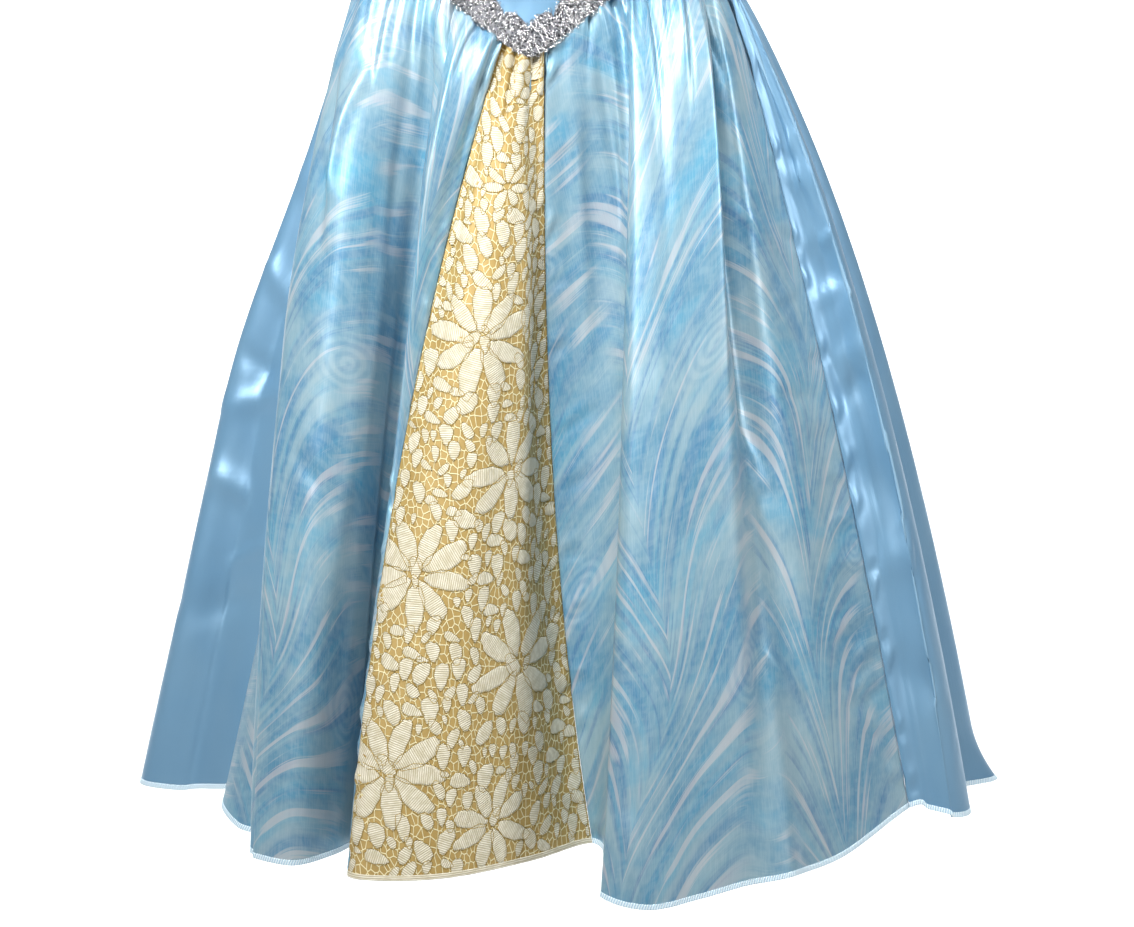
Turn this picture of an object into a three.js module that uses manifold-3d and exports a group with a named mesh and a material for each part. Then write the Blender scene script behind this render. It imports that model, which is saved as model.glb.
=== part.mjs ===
// A child's princess costume dress, as it hangs when worn, with nobody in it: a plain satin bodice, a silver
// scalloped trim along the pointed waist, and a full gathered skirt. The skirt has a gold lace front panel
// between two printed satin fronts, and four plain satin panels for its sides and back.
// Millimetres, +Z up. The dress faces -Y. The origin lies midway between the shoulders, which carry the dress.
import * as THREE from "three";
import Module from "manifold-3d";
import { mergeVertices } from "three/addons/utils/BufferGeometryUtils.js";

const wasm = await Module();
wasm.setup();

// Driving sizes
const clothThickness = 1.6;
const seamGap = 0.3;
const waistLevel = -275; // the side waist, below the shoulders
const waistPointDrop = 90; // how far the pointed waist dips below the side waist at the front
const waistPointRounding = 0.06; // softens the tip of the point, as a share of the half width
const hemLevel = -920;
const shoulderSlope = 0.32; // fall for each mm out from the neck
const neckHalfWidth = 72;
const frontNeckDepth = 80;
const backNeckDepth = 30;

// The bodice's rings from the shoulder line down to the point of the waist.
const bodiceSections = [
  { level: 0, halfWidth: 128, front: 0.2, back: 0.2 },
  { level: -3, halfWidth: 128, front: 20, back: 22 },
  { level: -10, halfWidth: 129, front: 38, back: 42 },
  { level: -28, halfWidth: 130, front: 60, back: 64 },
  { level: -60, halfWidth: 129, front: 79, back: 80 },
  { level: -110, halfWidth: 126, front: 91, back: 88 },
  { level: -165, halfWidth: 121, front: 93, back: 88 },
  { level: -225, halfWidth: 113, front: 87, back: 82 },
  { level: -275, halfWidth: 109, front: 84, back: 79 },
  { level: -320, halfWidth: 111, front: 88, back: 82 },
  { level: -365, halfWidth: 117, front: 96, back: 88 },
];

// The armhole is cut by an egg shape at each side of the bodice.
const armhole = { centreX: 160, centreZ: -90, radiusX: 58, radiusY: 62, radiusZ: 92 };

// Skirt shape
const flareStart = 0.012; // keeps the cloth from leaving the seam level
const gather = { depthShare: 0.12, greatestDepth: 2.2, rise: 9, fade: 45 }; // small gathers under the seam
const puffLevel = 60; // how far below the waist the gathers stand out most
const billow = { middle: 0.5, width: 0.17 }; // a swelling halfway down
const kickStart = 0.93; // where the last turn-out above the hem begins

// Each place where the hem turns, from the left edge of the lace, past the right side, to the right outline.
// waist is the angle round the waist that it falls from, 0 at the front and 90 at the right side. x, y and low
// give its place at the hem, low being how far it hangs below the hem's level. bowX and bowY are how far it
// stands off a straight fall halfway. flare is below 1 where it spreads early in its fall. puff, billow and
// kick push it out below the waist, halfway down and at the hem.
const rightTurns = [
  { name: "lace left seam", waist: -9, x: -127, y: -234, low: -1, bowX: -17, bowY: 4, flare: 1 },
  { name: "lace left face", waist: -6.5, x: -100, y: -247, low: 0, bowX: -10, bowY: 0, flare: 0.95 },
  { name: "lace middle", waist: -2, x: -52, y: -238, low: 0, bowX: -6, bowY: -4, flare: 0.9 },
  { name: "lace right face", waist: 2, x: 2, y: -198, low: 0, bowX: -8, bowY: -4, flare: 1 },
  { name: "lace right seam", waist: 5.5, x: 45, y: -162, low: -2, bowX: -9, bowY: 4, flare: 1.3 },
  { name: "great fold wall", waist: 26, x: 55, y: -206, low: 2, bowX: 16, bowY: 22, flare: 0.8, puff: 4 },
  { name: "great fold left edge", waist: 38, x: 54, y: -245, low: 13, bowX: 10, bowY: 0, flare: 0.72, puff: 4 },
  { name: "great fold crest", waist: 44, x: 84, y: -257, low: 18, bowX: 9, bowY: -6, flare: 0.7, puff: 6 },
  { name: "great fold face", waist: 57, x: 119, y: -248, low: 13, bowX: 9, bowY: -8, flare: 0.68, puff: 9 },
  { name: "great fold right edge", waist: 69, x: 152, y: -236, low: 7, bowX: 11, bowY: -8, flare: 0.68, puff: 11 },
  { name: "great fold right valley", waist: 74, x: 181, y: -219, low: 6, bowX: -4, bowY: 16, flare: 0.7, puff: 4 },
  { name: "third fold", waist: 79, x: 224, y: -172, low: 5, bowX: 0, bowY: -4, flare: 0.7, puff: 8 },
  { name: "right seam", waist: 84, x: 276, y: -112, low: -14, bowX: 4, bowY: 6, flare: 0.72, puff: 8 },
  { name: "right side valley", waist: 88, x: 292, y: -104, low: -10, bowX: 9, bowY: 8, flare: 0.67, puff: 3 },
  { name: "right side fold", waist: 92, x: 311, y: -108, low: -5, bowX: 14, bowY: -2, flare: 0.65 },
  { name: "right side fold edge", waist: 96, x: 328, y: -84, low: -3, bowX: 14, bowY: 0, flare: 0.64 },
  { name: "right hidden valley", waist: 101, x: 315, y: -38, low: -6, bowX: 9, bowY: 0, flare: 0.64 },
  { name: "right outline fold", waist: 108, x: 338, y: 6, low: -3, bowX: 13, bowY: 0, flare: 0.64, kick: 13 },
];

// The same for the left side, from the far side fold round to the lace.
const leftTurns = [
  { name: "left outline fold", waist: -106, x: -291, y: 6, low: -3, bowX: -8, bowY: 0, flare: 0.9, billow: 9 },
  { name: "left side face", waist: -98, x: -268, y: -36, low: -5, bowX: -4, bowY: 0, flare: 0.95, billow: 4 },
  { name: "left seam valley", waist: -91, x: -206, y: -62, low: -14, bowX: 8, bowY: 6, flare: 1 },
  { name: "left front fold edge", waist: -87, x: -224, y: -104, low: -15, bowX: 8, bowY: -2, flare: 1 },
  { name: "left front flank", waist: -84, x: -210, y: -136, low: -6, bowX: 4, bowY: -2, flare: 0.95 },
  { name: "left front valley", waist: -81.5, x: -188, y: -150, low: -3, bowX: 0, bowY: 8, flare: 0.85 },
  { name: "left broad fold edge", waist: -78, x: -200, y: -176, low: 1, bowX: -18, bowY: -2, flare: 0.72 },
  { name: "left broad fold crest", waist: -64, x: -168, y: -200, low: 3, bowX: -6, bowY: -10, flare: 0.72, puff: 5 },
  { name: "left broad fold right", waist: -50, x: -140, y: -178, low: 2, bowX: 2, bowY: -2, flare: 0.72, puff: 5 },
  { name: "strip valley", waist: -34, x: -122, y: -146, low: 2, bowX: 4, bowY: 12, flare: 0.72, puff: 2 },
  { name: "strip edge", waist: -29, x: -120, y: -168, low: 1, bowX: 6, bowY: -6, flare: 0.72, puff: 5 },
  { name: "lace valley", waist: -18, x: -108, y: -162, low: 0, bowX: -12, bowY: -15, flare: 0.6, puff: 4 },
];

// The hidden back folds, worked out round an ellipse from the right outline to the left one.
const back = {
  folds: 9, centreX: 28, halfWidth: 300, depth: 236, foldHeight: 24, uneven: 8, lean: 10,
  waistStart: 115, waistEnd: 247, flare: 0.7,
};

function backTurns() {
  const turns = [];
  const steps = 2 * back.folds - 1;
  for (let i = 0; i < steps; i++) {
    const share = (i + 1) / (steps + 1);
    const side = i % 2 === 0 ? -1 : 1; // valleys and crests in turn, with a valley at the back seam
    const angle = THREE.MathUtils.degToRad(98 + 164 * share + 2.2 * Math.sin(7 * share + 1));
    const out = side * (back.foldHeight + back.uneven * Math.sin(5.3 * i));
    const alongHem = side > 0 ? back.lean * Math.sin(2.9 * i) : 0;
    turns.push({
      name: side < 0 ? "back valley" : "back fold",
      waist: THREE.MathUtils.lerp(back.waistStart, back.waistEnd, share),
      x: back.centreX * Math.abs(Math.sin(angle)) + (back.halfWidth + out) * Math.sin(angle) + alongHem,
      y: -(back.depth + out) * Math.cos(angle),
      low: side * 3 - 3,
      bowX: 0,
      bowY: 0,
      flare: back.flare,
    });
  }
  return turns;
}

const fullTurn = 360;
const smallStep = 1e-3;
const turns = [...rightTurns, ...backTurns(), ...leftTurns.map((t) => ({ ...t, waist: t.waist + fullTurn }))];
const seamTurns = {
  laceLeft: 0,
  laceRight: turns.findIndex((t) => t.name === "lace right seam"),
  right: turns.findIndex((t) => t.name === "right seam"),
  rightSide: rightTurns.length, // the first and the last hidden valley hold the seams between sides and backs
  back: rightTurns.length + back.folds - 1,
  leftSide: rightTurns.length + 2 * (back.folds - 1),
  left: turns.findIndex((t) => t.name === "left seam valley"),
};

// A smooth closed curve through one column of the turns, at u turns from the first.
function readTurns(column, u) {
  const i = Math.floor(u);
  const f = u - i;
  const value = (k) => {
    const wrapped = ((k % turns.length) + turns.length) % turns.length;
    const laps = Math.round((k - wrapped) / turns.length);
    return (turns[wrapped][column] ?? 0) + (column === "waist" ? fullTurn * laps : 0);
  };
  const [a, b, c, d] = [value(i - 1), value(i), value(i + 1), value(i + 2)];
  const startSlope = (c - a) / 2;
  const endSlope = (d - b) / 2;
  const bend = 2 * b - 2 * c + startSlope + endSlope;
  const rise = -3 * b + 3 * c - 2 * startSlope - endSlope;
  return ((bend * f + rise) * f + startSlope) * f + b;
}

// A value between the rows of the bodice's sections, eased so that the rings stay smooth.
function readBodice(column, level) {
  const rows = bodiceSections;
  const clamped = Math.min(rows[0].level, Math.max(rows[rows.length - 1].level, level));
  let i = 0;
  while (i < rows.length - 2 && clamped < rows[i + 1].level) i++;
  const share = (rows[i].level - clamped) / (rows[i].level - rows[i + 1].level);
  const slope = (k) => {
    const low = rows[Math.max(0, k - 1)];
    const high = rows[Math.min(rows.length - 1, k + 1)];
    return (high[column] - low[column]) / (low.level - high.level);
  };
  const span = rows[i].level - rows[i + 1].level;
  const [p, q, m, n] = [rows[i][column], rows[i + 1][column], slope(i) * span, slope(i + 1) * span];
  const steepTop = i === 0; // straight beside the shoulder seam, where the cloth is nearly level
  if (steepTop) return THREE.MathUtils.lerp(p, q, share);
  return p + share * (m + share * (3 * (q - p) - 2 * m - n + share * (m + n - 2 * (q - p))));
}

// A point of the bodice's outer surface, at an angle round the body and a level.
function bodicePoint(angle, level) {
  const across = Math.sin(angle);
  const ahead = Math.cos(angle);
  const depth = readBodice(ahead > 0 ? "front" : "back", level);
  const x = readBodice("halfWidth", level) * across;
  const nearShoulder = Math.max(0, 1 + level / 120);
  const fall = shoulderSlope * Math.max(0, Math.abs(x) - neckHalfWidth) * nearShoulder ** 2;
  return new THREE.Vector3(x, -depth * ahead, level - fall);
}

// The level of the waist seam: a point at the front, level at the back.
function seamLevel(angle) {
  if (Math.cos(angle) <= 0) return waistLevel;
  const rounded = Math.hypot(Math.sin(angle), waistPointRounding);
  const side = Math.hypot(1, waistPointRounding);
  return waistLevel - waistPointDrop * (1 - rounded / side);
}

// A point of the skirt's outer surface. u counts the turns round it, and fall goes from 0 at the waist to 1.
function skirtPoint(u, fall) {
  const angle = THREE.MathUtils.degToRad(readTurns("waist", u));
  const top = bodicePoint(angle, seamLevel(angle) - seamGap);
  const hemZ = hemLevel - readTurns("low", u);
  const drop = fall * (top.z - hemZ);
  const flare = readTurns("flare", u);
  const start = flareStart ** flare;
  const spread = ((fall + flareStart) ** flare - start) / ((1 + flareStart) ** flare - start);
  const bow = 4 * spread * (1 - spread);

  const turnDegrees = readTurns("waist", u + 0.5) - readTurns("waist", u - 0.5);
  const turnWidth = THREE.MathUtils.degToRad(turnDegrees) * Math.hypot(top.x, top.y);
  const onLace = u <= seamTurns.laceRight || u >= turns.length;
  const depth = onLace ? 0 : Math.min(gather.greatestDepth, gather.depthShare * turnWidth);
  const fading = (1 - Math.exp(-drop / gather.rise)) * Math.exp(-drop / gather.fade);
  const gathers = depth * Math.cos(2 * Math.PI * u) * fading;
  const puff = readTurns("puff", u) * (drop / puffLevel) * Math.exp(1 - drop / puffLevel);
  const swell = readTurns("billow", u) * Math.exp(-(((fall - billow.middle) / billow.width) ** 2));
  const kick = readTurns("kick", u) * (Math.max(0, fall - kickStart) / (1 - kickStart)) ** 2;
  const out = gathers + puff + swell + kick;
  const { lerp } = THREE.MathUtils;
  return new THREE.Vector3(
    lerp(top.x, readTurns("x", u), spread) + bow * readTurns("bowX", u) + out * Math.sin(angle),
    lerp(top.y, readTurns("y", u), spread) + bow * readTurns("bowY", u) - out * Math.cos(angle),
    lerp(top.z, hemZ, fall),
  );
}

// The outward normal of a surface whose first number runs to the right and whose second runs down.
function normalAt(surface, u, v, du, dv) {
  const across = surface(u + du, v).sub(surface(u - du, v));
  const down = surface(u, v + dv).sub(surface(u, v - dv));
  return down.cross(across).normalize();
}

// The bodice as it is cut: fall goes from 0 at the shoulder line to 1 at the waist seam.
function bodiceSurface(angle, fall) {
  return bodicePoint(angle, fall * seamLevel(angle));
}

// The skirt's top edge faces the way the bodice does, so the two edges meet square.
function waistNormal(u) {
  const angle = THREE.MathUtils.degToRad(readTurns("waist", u));
  return normalAt(bodiceSurface, angle, 1, smallStep, smallStep / 2);
}

// A closed wall from two grids of points, outer[column][row] and inner[column][row].
function wallGeometry(outer, inner) {
  const columns = outer.length;
  const rows = outer[0].length;
  const points = [...outer.flat(), ...inner.flat()];
  const outerAt = (i, j) => i * rows + j;
  const innerAt = (i, j) => columns * rows + i * rows + j;
  const faces = [];
  const quad = (a, b, c, d) => faces.push(a, b, c, a, c, d);
  for (let i = 0; i < columns - 1; i++) {
    for (let j = 0; j < rows - 1; j++) {
      quad(outerAt(i, j), outerAt(i, j + 1), outerAt(i + 1, j + 1), outerAt(i + 1, j));
      quad(innerAt(i, j), innerAt(i + 1, j), innerAt(i + 1, j + 1), innerAt(i, j + 1));
    }
    quad(outerAt(i, 0), outerAt(i + 1, 0), innerAt(i + 1, 0), innerAt(i, 0));
    quad(outerAt(i, rows - 1), innerAt(i, rows - 1), innerAt(i + 1, rows - 1), outerAt(i + 1, rows - 1));
  }
  const last = columns - 1;
  for (let j = 0; j < rows - 1; j++) {
    quad(outerAt(0, j), innerAt(0, j), innerAt(0, j + 1), outerAt(0, j + 1));
    quad(outerAt(last, j), outerAt(last, j + 1), innerAt(last, j + 1), innerAt(last, j));
  }
  const geometry = new THREE.BufferGeometry();
  geometry.setAttribute("position", new THREE.Float32BufferAttribute(points.flatMap((p) => p.toArray()), 3));
  geometry.setIndex(faces);
  geometry.computeVertexNormals();
  return geometry;
}

// Cuts and joins closed meshes.
function solidOf(geometry) {
  const bare = geometry.clone();
  bare.deleteAttribute("normal");
  bare.deleteAttribute("uv");
  const merged = mergeVertices(bare, 1e-4);
  return new wasm.Manifold(
    new wasm.Mesh({
      numProp: 3,
      vertProperties: new Float32Array(merged.attributes.position.array),
      triVerts: new Uint32Array(merged.index.array),
    }),
  );
}

function geometryOf(solid) {
  const mesh = solid.getMesh();
  const geometry = new THREE.BufferGeometry();
  geometry.setAttribute("position", new THREE.BufferAttribute(new Float32Array(mesh.vertProperties), 3));
  geometry.setIndex(new THREE.BufferAttribute(new Uint32Array(mesh.triVerts), 1));
  geometry.computeVertexNormals();
  return geometry;
}

function clothMaterial(colour, roughness, metalness = 0) {
  return new THREE.MeshStandardMaterial({ color: colour, roughness, metalness, side: THREE.DoubleSide });
}

const plainSatin = clothMaterial(0x8db8d4, 0.35);
const printedSatin = clothMaterial(0xa3c4d6, 0.35);
const goldLace = clothMaterial(0xe0cd8c, 0.7);
const silverBraid = clothMaterial(0xc9cacd, 0.3, 0.8);

const dress = new THREE.Group();

function addPiece(name, geometry, material) {
  const mesh = new THREE.Mesh(geometry, material);
  mesh.name = name;
  dress.add(mesh);
}

// Skirt panels. Each runs between two seams and stops half a gap short of them.
const fallRows = [0, 0.012, 0.04, 0.085, 0.15, 0.24, 0.36, 0.5, 0.66, 0.81, 0.93, 1];

function skirtPanel(name, firstTurn, lastTurn, columnsPerTurn, material) {
  const count = (lastTurn - firstTurn) * columnsPerTurn;
  const outer = [];
  const inner = [];
  for (let i = 0; i <= count; i++) {
    const u = firstTurn + i / columnsPerTurn;
    const offSeam = i === 0 ? 1 : i === count ? -1 : 0;
    const outerColumn = [];
    const innerColumn = [];
    for (const fall of fallRows) {
      const inside = u + offSeam * smallStep;
      const below = normalAt(skirtPoint, inside, fall, smallStep, smallStep);
      const normal = fall === 0 ? waistNormal(inside) : below;
      const before = skirtPoint(inside - smallStep, fall);
      const along = skirtPoint(inside + smallStep, fall).sub(before).normalize();
      const point = skirtPoint(u, fall).addScaledVector(along, (offSeam * seamGap) / 2);
      outerColumn.push(point);
      innerColumn.push(point.clone().addScaledVector(normal, -clothThickness));
    }
    outer.push(outerColumn);
    inner.push(innerColumn);
  }
  addPiece(name, wallGeometry(outer, inner), material);
}

skirtPanel("lace_panel", seamTurns.laceLeft, seamTurns.laceRight, 4, goldLace);
skirtPanel("printed_front_right", seamTurns.laceRight, seamTurns.right, 4, printedSatin);
skirtPanel("plain_side_right", seamTurns.right, seamTurns.rightSide, 3, plainSatin);
skirtPanel("plain_back_right", seamTurns.rightSide, seamTurns.back, 3, plainSatin);
skirtPanel("plain_back_left", seamTurns.back, seamTurns.leftSide, 3, plainSatin);
skirtPanel("plain_side_left", seamTurns.leftSide, seamTurns.left, 3, plainSatin);
skirtPanel("printed_front_left", seamTurns.left, turns.length, 4, printedSatin);

// Bodice. One wall goes round the front or the back from the shoulder line to the waist seam, and the neck and
// the armholes are cut from it.
const bodiceRows = [0, 0.01, 0.03, 0.07, 0.14, 0.26, 0.42, 0.58, 0.7, 0.8, 0.9, 1];
const cutterReach = 400;

function bodiceWall(middleDegrees, columnsEachSide, crowding) {
  const outer = [];
  const inner = [];
  for (let i = -columnsEachSide; i <= columnsEachSide; i++) {
    const fromMiddle = 90 * Math.sign(i) * Math.abs(i / columnsEachSide) ** crowding;
    const angle = THREE.MathUtils.degToRad(middleDegrees + fromMiddle);
    outer.push(bodiceRows.map((fall) => bodiceSurface(angle, fall)));
    inner.push(
      bodiceRows.map((fall) => {
        const below = Math.max(fall, smallStep);
        const normal = normalAt(bodiceSurface, angle, below, smallStep, smallStep / 2);
        return bodiceSurface(angle, fall).addScaledVector(normal, -clothThickness);
      }),
    );
  }
  return solidOf(wallGeometry(outer, inner));
}

// A block that fills space from one corner to the other.
function block(low, high) {
  const size = high.map((value, i) => value - low[i]);
  const box = new THREE.BoxGeometry(...size);
  box.translate(...low.map((value, i) => value + size[i] / 2));
  return solidOf(box);
}

function armholeCutter(side) {
  const egg = new THREE.SphereGeometry(1, 40, 28);
  egg.scale(armhole.radiusX, armhole.radiusY, armhole.radiusZ);
  egg.translate(side * armhole.centreX, 0, armhole.centreZ);
  return solidOf(egg);
}

// A round neckline: the lower half of an ellipse, open upwards, cut through from front to back.
function neckCutter(depth, startY, endY) {
  const outline = new THREE.Shape();
  outline.moveTo(neckHalfWidth, cutterReach);
  outline.lineTo(-neckHalfWidth, cutterReach);
  outline.lineTo(-neckHalfWidth, 0);
  outline.absellipse(0, 0, neckHalfWidth, depth, Math.PI, 2 * Math.PI, false);
  outline.closePath();
  const settings = { depth: endY - startY, bevelEnabled: false, curveSegments: 20 };
  const cutter = new THREE.ExtrudeGeometry(outline, settings);
  cutter.rotateX(Math.PI / 2);
  cutter.translate(0, endY, 0);
  return solidOf(cutter);
}

function bodicePiece(name, wall, keepLow, keepHigh, neck) {
  const cut = [armholeCutter(-1), armholeCutter(1), neck].reduce(
    (piece, cutter) => piece.subtract(cutter),
    wall.intersect(block(keepLow, keepHigh)),
  );
  addPiece(name, geometryOf(cut), plainSatin);
}

const half = seamGap / 2;
const frontWall = bodiceWall(0, 15, 1.4);
const backWall = bodiceWall(180, 9, 1);
const frontNeck = neckCutter(frontNeckDepth, -cutterReach, 0);
const backNeck = neckCutter(backNeckDepth, 0, cutterReach);
const far = cutterReach;
bodicePiece("bodice_front", frontWall, [-far, -far, -far], [far, -half, far], frontNeck);
bodicePiece("bodice_back_right", backWall, [half, half, -far], [far, far, far], backNeck);
bodicePiece("bodice_back_left", backWall, [-far, half, -far], [-half, far, far], backNeck);

// Silver trim along the pointed waist, from side seam to side seam, with scallops on its upper edge.
const trim = {
  endAngle: 88, scallops: 20, columnsPerScallop: 4, bandHeight: 15, scallopHeight: 9, aboveSeam: 1,
  offBodice: 0.5, thickness: 2.2, rib: 1,
};
const trimRows = [0, 0.3, 0.72, 1];

function trimPoint(angle, share, out) {
  const fromCentre = angle / THREE.MathUtils.degToRad(trim.endAngle);
  const lobe = Math.abs(Math.sin((Math.PI * trim.scallops * fromCentre) / 2));
  const height = trim.bandHeight + trim.scallopHeight * Math.sqrt(lobe);
  const level = seamLevel(angle) + trim.aboveSeam + height * (1 - share);
  const surface = (a, l) => bodicePoint(a, -l);
  const normal = normalAt(surface, angle, -level, smallStep, smallStep * 100);
  return bodicePoint(angle, level).addScaledVector(normal, out);
}

function trimPiece() {
  const count = trim.scallops * trim.columnsPerScallop;
  const end = THREE.MathUtils.degToRad(trim.endAngle);
  const outer = [];
  const inner = [];
  for (let i = 0; i <= count; i++) {
    const angle = THREE.MathUtils.lerp(-end, end, i / count);
    const rib = (share) => trim.rib * Math.abs(2 * share - 1); // raised along both edges
    const lift = (share) => trim.offBodice + trim.thickness + rib(share);
    outer.push(trimRows.map((share) => trimPoint(angle, share, lift(share))));
    inner.push(trimRows.map((share) => trimPoint(angle, share, trim.offBodice)));
  }
  addPiece("silver_trim", wallGeometry(outer, inner), silverBraid);
}

trimPiece();

export default dress;
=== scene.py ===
# A child's princess costume dress of pale blue satin as it hangs when worn: folds, print, lace and trim
import math
import random

import bmesh
import bpy
import numpy as np
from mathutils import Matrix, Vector


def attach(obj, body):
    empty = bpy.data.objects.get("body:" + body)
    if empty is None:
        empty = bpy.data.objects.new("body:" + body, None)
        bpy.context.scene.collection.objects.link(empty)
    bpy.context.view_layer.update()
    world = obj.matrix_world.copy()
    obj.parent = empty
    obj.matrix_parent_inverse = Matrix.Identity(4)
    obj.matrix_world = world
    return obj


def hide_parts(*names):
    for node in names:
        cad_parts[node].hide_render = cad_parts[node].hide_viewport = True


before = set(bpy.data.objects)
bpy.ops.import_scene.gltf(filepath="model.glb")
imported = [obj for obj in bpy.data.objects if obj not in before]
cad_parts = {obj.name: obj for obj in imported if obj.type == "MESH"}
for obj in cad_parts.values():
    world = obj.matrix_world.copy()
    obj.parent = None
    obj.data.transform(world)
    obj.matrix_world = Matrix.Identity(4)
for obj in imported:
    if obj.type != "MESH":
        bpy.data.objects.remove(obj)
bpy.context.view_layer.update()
mm = 0.001

# Sizes in millimetres, the same as the solids have
cloth = {"thickness": 1.2, "seamGap": 0.3}
waist = {"level": -275, "pointDrop": 90, "rounding": 0.06}
hemLevel = -920
shoulder = {"slope": 0.32, "neckHalfWidth": 72, "frontDepth": 80, "backDepth": 30}
armhole = {"centreX": 160, "centreZ": -90, "radiusX": 58, "radiusY": 62, "radiusZ": 92}
flareStart = 0.012
gather = {"depthShare": 0.12, "greatest": 2.2, "rise": 9, "fade": 45}
puffLevel = 60
billow = {"middle": 0.5, "width": 0.17}
kickStart = 0.93

# level, half width, front, back
bodiceSections = [
    (0, 128, 0.2, 0.2), (-3, 128, 20, 22), (-10, 129, 38, 42), (-28, 130, 60, 64), (-60, 129, 79, 80),
    (-110, 126, 91, 88), (-165, 121, 93, 88), (-225, 113, 87, 82), (-275, 109, 84, 79), (-320, 111, 88, 82),
    (-365, 117, 96, 88),
]

# A turn of the hem: angle round the waist, place at the hem, how far it hangs low, bow, flare and swellings
def hemTurn(waist, x, y, low, bowX, bowY, flare, **swellings):
    return dict(waist=waist, x=x, y=y, low=low, bowX=bowX, bowY=bowY, flare=flare, **swellings)


rightTurns = {
    "lace left seam": hemTurn(-9, -127, -234, -1, -17, 4, 1),
    "lace left face": hemTurn(-6.5, -100, -247, 0, -10, 0, 0.95),
    "lace middle": hemTurn(-2, -52, -238, 0, -6, -4, 0.9),
    "lace right face": hemTurn(2, 2, -198, 0, -8, -4, 1),
    "lace right seam": hemTurn(5.5, 45, -162, -2, -9, 4, 1.3),
    "great fold wall": hemTurn(26, 55, -206, 2, 16, 22, 0.8, puff=4),
    "great fold left edge": hemTurn(38, 54, -245, 13, 10, 0, 0.72, puff=4),
    "great fold crest": hemTurn(44, 84, -257, 18, 9, -6, 0.7, puff=6),
    "great fold face": hemTurn(57, 119, -248, 13, 9, -8, 0.68, puff=9),
    "great fold right": hemTurn(69, 152, -236, 7, 11, -8, 0.68, puff=11),
    "great fold valley": hemTurn(74, 181, -219, 6, -4, 16, 0.7, puff=4),
    "third fold": hemTurn(79, 224, -172, 5, 0, -4, 0.7, puff=8),
    "right seam": hemTurn(84, 276, -112, -14, 4, 6, 0.72, puff=8),
    "right side valley": hemTurn(88, 292, -104, -10, 9, 8, 0.67, puff=3),
    "right side fold": hemTurn(92, 311, -108, -5, 14, -2, 0.65),
    "right side fold edge": hemTurn(96, 328, -84, -3, 14, 0, 0.64),
    "right hidden valley": hemTurn(101, 315, -38, -6, 9, 0, 0.64),
    "right outline fold": hemTurn(108, 338, 6, -3, 13, 0, 0.64, kick=13),
}
leftTurns = {
    "left outline fold": hemTurn(-106, -291, 6, -3, -8, 0, 0.9, billow=9),
    "left side face": hemTurn(-98, -268, -36, -5, -4, 0, 0.95, billow=4),
    "left seam valley": hemTurn(-91, -206, -62, -14, 8, 6, 1),
    "left front fold edge": hemTurn(-87, -224, -104, -15, 8, -2, 1),
    "left front flank": hemTurn(-84, -210, -136, -6, 4, -2, 0.95),
    "left front valley": hemTurn(-81.5, -188, -150, -3, 0, 8, 0.85),
    "left broad fold edge": hemTurn(-78, -200, -176, 1, -18, -2, 0.72),
    "left broad fold crest": hemTurn(-64, -168, -200, 3, -6, -10, 0.72, puff=5),
    "left broad fold right": hemTurn(-50, -140, -178, 2, 2, -2, 0.72, puff=5),
    "strip valley": hemTurn(-34, -122, -146, 2, 4, 12, 0.72, puff=2),
    "strip edge": hemTurn(-29, -120, -168, 1, 6, -6, 0.72, puff=5),
    "lace valley": hemTurn(-18, -108, -162, 0, -12, -15, 0.6, puff=4),
}
back = {
    "folds": 9, "centreX": 28, "halfWidth": 300, "depth": 236, "foldHeight": 24, "uneven": 8, "lean": 10,
    "waistStart": 115, "waistEnd": 247, "hemStart": 98, "hemSweep": 164, "flare": 0.7,
}


def backTurns():
    turns = []
    steps = 2 * back["folds"] - 1
    for i in range(steps):
        share = (i + 1) / (steps + 1)
        side = -1 if i % 2 == 0 else 1
        sway = 2.2 * math.sin(7 * share + 1)
        angle = math.radians(back["hemStart"] + back["hemSweep"] * share + sway)
        out = side * (back["foldHeight"] + back["uneven"] * math.sin(5.3 * i))
        alongHem = back["lean"] * math.sin(2.9 * i) if side > 0 else 0
        x = back["centreX"] * abs(math.sin(angle)) + (back["halfWidth"] + out) * math.sin(angle) + alongHem
        y = -(back["depth"] + out) * math.cos(angle)
        waistAngle = back["waistStart"] + share * (back["waistEnd"] - back["waistStart"])
        turns.append(hemTurn(waistAngle, x, y, side * 3 - 3, 0, 0, back["flare"]))
    return turns


leftLap = [{**row, "waist": row["waist"] + 360} for row in leftTurns.values()]
turns = [*rightTurns.values(), *backTurns(), *leftLap]
seams = {
    "laceLeft": 0,
    "laceRight": list(rightTurns).index("lace right seam"),
    "right": list(rightTurns).index("right seam"),
    "rightSide": len(rightTurns),
    "back": len(rightTurns) + back["folds"] - 1,
    "leftSide": len(rightTurns) + 2 * (back["folds"] - 1),
    "left": len(turns) - len(leftTurns) + list(leftTurns).index("left seam valley"),
    "end": len(turns),
}


# A smooth closed curve through one column of the turns
def readTurns(column, u):
    i = np.floor(u).astype(int)
    f = u - i
    values = np.array([row.get(column, 0) for row in turns], float)

    def value(k):
        lap = 360 * (k // len(turns)) if column == "waist" else 0
        return values[k % len(turns)] + lap

    a, b, c, d = value(i - 1), value(i), value(i + 1), value(i + 2)
    startSlope, endSlope = (c - a) / 2, (d - b) / 2
    bend = 2 * b - 2 * c + startSlope + endSlope
    rise = -3 * b + 3 * c - 2 * startSlope - endSlope
    return ((bend * f + rise) * f + startSlope) * f + b


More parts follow.
